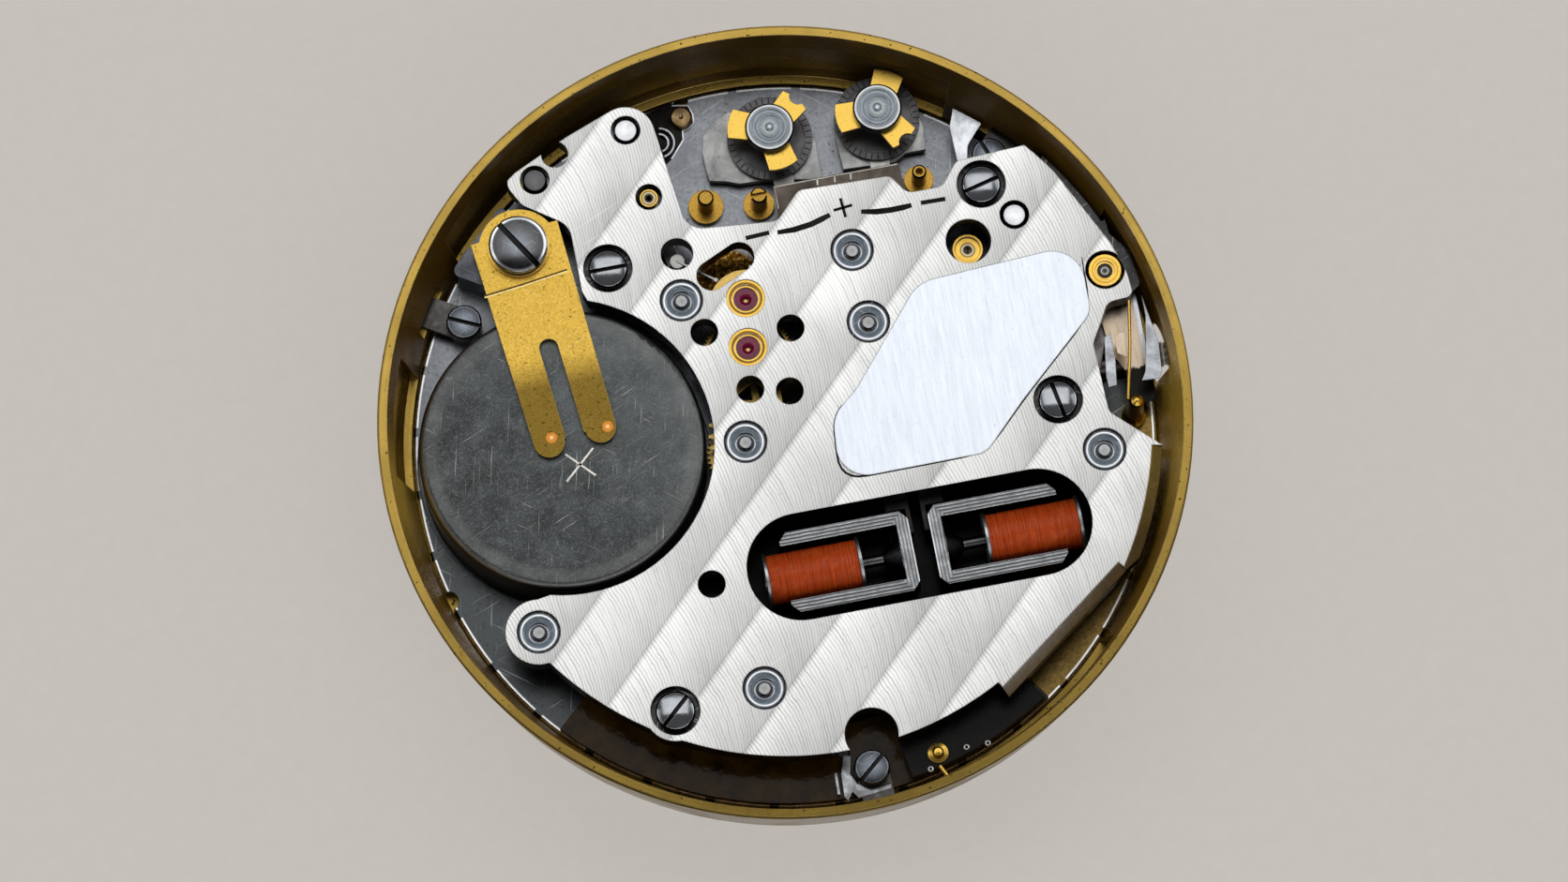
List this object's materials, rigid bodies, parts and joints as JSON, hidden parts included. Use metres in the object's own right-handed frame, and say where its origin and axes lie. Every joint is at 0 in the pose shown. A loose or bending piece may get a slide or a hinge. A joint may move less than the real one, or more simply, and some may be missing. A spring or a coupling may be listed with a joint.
{
  "type": "tuning fork watch movement",
  "caption": "Round battery watch movement with a tuning fork, two coils in a window, a forked cell strap and star regulators, held in a brass casing ring.",
  "frame": {"origin": "on the axis of the casing ring, at its lower face (dial side)", "axes": "+Z along the ring axis towards the bridge side, +X parallel to the coil window towards the stem, +Y towards the regulators"},
  "size_m": [0.0326, 0.0326, 0.008],
  "materials": {
    "ring_brass": "satin turned brass",
    "steel": "polished steel",
    "screw_steel": "polished steel with a turned top",
    "plate_nickel": "nickel plated brass",
    "bridge_nickel": "nickel plated with curved stripes",
    "gold_brass": "polished gilt brass",
    "ruby": "polished synthetic ruby",
    "cell_steel": "worn nickel steel",
    "insulator": "thin black plastic",
    "dark_iron": "dark satin iron",
    "magnet": "bright magnet metal",
    "former": "grey plastic",
    "copper_wire": "red-brown enamelled copper wire",
    "dark_plate": "dark steel with ticks",
    "dial_metal": "pale lacquer",
    "carrier": "amber resin board",
    "potting": "black potted resin"
  },
  "bodies": {
    "movement": {"casing_ring": "ring_brass", "casing_clamps": "steel", "casing_screws": "screw_steel", "main_plate": "plate_nickel", "plate_jewels": "ruby", "train_bridge": "bridge_nickel", "bridge_screws": "screw_steel", "steady_pins": "steel", "jewel_chatons": "gold_brass", "ruby_jewels": "ruby", "bridge_bushings": "steel", "eccentric_bush": "gold_brass", "button_cell": "cell_steel", "cell_insulator": "insulator", "cell_contact_spring": "gold_brass", "strap_screw": "screw_steel", "strap_washer": "gold_brass", "strap_block": "plate_nickel", "fork_base": "steel", "dial_side_screws": "screw_steel", "coil_formers": "former", "coil_windings": "copper_wire", "index_plate": "dark_plate", "hold_pawl": "steel", "date_jumper": "steel", "calendar_plate": "plate_nickel", "keyless_cover": "steel", "stop_lever": "steel", "terminal_posts": "gold_brass", "circuit_carrier": "carrier", "circuit_block": "potting"},
    "strap": {"battery_strap": "gold_brass"},
    "fork_left": {"fork_arm_left": "steel", "magnet_cup_left": "dark_iron", "magnet_cone_left": "magnet", "regulator_dial_left": "steel", "drive_pawl": "steel"},
    "fork_right": {"fork_arm_right": "steel", "magnet_cup_right": "dark_iron", "magnet_cone_right": "magnet", "regulator_dial_right": "steel"},
    "regulator_left": {"regulator_star_left": "gold_brass", "regulator_cap_left": "screw_steel"},
    "regulator_right": {"regulator_star_right": "gold_brass", "regulator_cap_right": "screw_steel"},
    "index": {"index_wheel": "gold_brass"},
    "intermediate": {"intermediate_wheel": "gold_brass"},
    "seconds": {"seconds_wheel": "gold_brass"},
    "third": {"third_wheel": "gold_brass"},
    "centre": {"centre_wheel": "gold_brass"},
    "cannon": {"cannon_pinion": "steel"},
    "minute": {"minute_wheel": "gold_brass"},
    "hour": {"hour_wheel": "gold_brass"},
    "date_drive": {"date_driving_wheel": "gold_brass", "date_finger": "steel"},
    "date": {"date_ring": "dial_metal"},
    "stem": {"setting_stem": "steel"},
    "clutch": {"sliding_pinion": "steel"},
    "clutch_yoke": {"yoke": "steel"},
    "lever": {"setting_lever": "steel"}
  },
  "joints": [
    {"name": "strap_swing", "type": "hinge", "parent": "movement", "child": "strap", "pos_m": [-0.0092, 0.00928, 0], "axis": [0, 0, 1], "range_deg": [-38, 0]},
    {"name": "fork_left_swing", "type": "hinge", "parent": "movement", "child": "fork_left", "pos_m": [0.0035, 0.00521, 0], "axis": [0, 0, 1], "range_deg": [-0.15, 0.15]},
    {"name": "fork_right_swing", "type": "hinge", "parent": "movement", "child": "fork_right", "pos_m": [0.0045, 0.00521, 0], "axis": [0, 0, 1], "range_deg": [-0.15, 0.15]},
    {"name": "regulator_left_turn", "type": "hinge", "parent": "fork_left", "child": "regulator_left", "pos_m": [0.00176, 0.01249, 0], "axis": [0, 0, 1], "continuous": true},
    {"name": "regulator_right_turn", "type": "hinge", "parent": "fork_right", "child": "regulator_right", "pos_m": [0.00622, 0.01248, 0], "axis": [0, 0, 1], "continuous": true},
    {"name": "seconds_turn", "type": "hinge", "parent": "movement", "child": "seconds", "pos_m": [0, 0, 0], "axis": [0, 0, 1], "continuous": true},
    {"name": "index_turn", "type": "hinge", "parent": "movement", "child": "index", "pos_m": [-0.00057, 0.00549, 0], "axis": [0, 0, 1], "continuous": true},
    {"name": "intermediate_turn", "type": "hinge", "parent": "movement", "child": "intermediate", "pos_m": [-0.00085, 0.00348, 0], "axis": [0, 0, 1], "continuous": true},
    {"name": "third_turn", "type": "hinge", "parent": "movement", "child": "third", "pos_m": [-0.00169, -0.00036, 0], "axis": [0, 0, 1], "continuous": true},
    {"name": "centre_turn", "type": "hinge", "parent": "movement", "child": "centre", "pos_m": [0, 0, 0], "axis": [0, 0, 1], "continuous": true},
    {"name": "date_wheel_turn", "type": "hinge", "parent": "movement", "child": "date_drive", "pos_m": [-0.00586, -0.00213, 0], "axis": [0, 0, 1], "continuous": true, "deforming": ["date_finger"]},
    {"name": "hour_turn", "type": "hinge", "parent": "movement", "child": "hour", "pos_m": [0, 0, 0], "axis": [0, 0, 1], "continuous": true},
    {"name": "minute_turn", "type": "hinge", "parent": "movement", "child": "minute", "pos_m": [0.0013, -0.00225, 0], "axis": [0, 0, 1], "continuous": true},
    {"name": "cannon_turn", "type": "hinge", "parent": "movement", "child": "cannon", "pos_m": [0, 0, 0], "axis": [0, 0, 1], "continuous": true},
    {"name": "date_ring_turn", "type": "hinge", "parent": "movement", "child": "date", "pos_m": [0, 0, 0], "axis": [0, 0, 1], "continuous": true, "deforming": ["date_jumper"]},
    {"name": "clutch_shift", "type": "slide", "parent": "movement", "child": "clutch_yoke", "axis": [0.9991, 0.0419, 0], "range_m": [-0.0005, 0]},
    {"name": "stem_turn", "type": "hinge", "parent": "clutch_yoke", "child": "clutch", "pos_m": [0.00999, 0.00042, 0.0039], "axis": [0.9991, 0.0419, 0], "continuous": true},
    {"name": "stem_pull", "type": "slide", "parent": "clutch", "child": "stem", "axis": [0.9991, 0.0419, 0], "range_m": [0, 0.0013]},
    {"name": "lever_turn", "type": "hinge", "parent": "movement", "child": "lever", "pos_m": [0.01392, 0.00392, 0], "axis": [0, 0, 1], "range_deg": [0, 13.33]}
  ],
  "couplings": [
    {"joint": "fork_right_swing", "follows": "fork_left_swing", "ratio": -1},
    {"joint": "intermediate_turn", "follows": "seconds_turn", "ratio": -5},
    {"joint": "index_turn", "follows": "seconds_turn", "ratio": 60},
    {"joint": "third_turn", "follows": "seconds_turn", "ratio": -0.13333},
    {"joint": "centre_turn", "follows": "seconds_turn", "ratio": 0.016667},
    {"joint": "hour_turn", "follows": "date_wheel_turn", "ratio": -2},
    {"joint": "minute_turn", "follows": "date_wheel_turn", "ratio": 8},
    {"joint": "cannon_turn", "follows": "date_wheel_turn", "ratio": -24},
    {"joint": "clutch_shift", "follows": "stem_pull", "ratio": -0.38462},
    {"joint": "lever_turn", "follows": "stem_pull", "rad_per_m": 178.3}
  ]
}
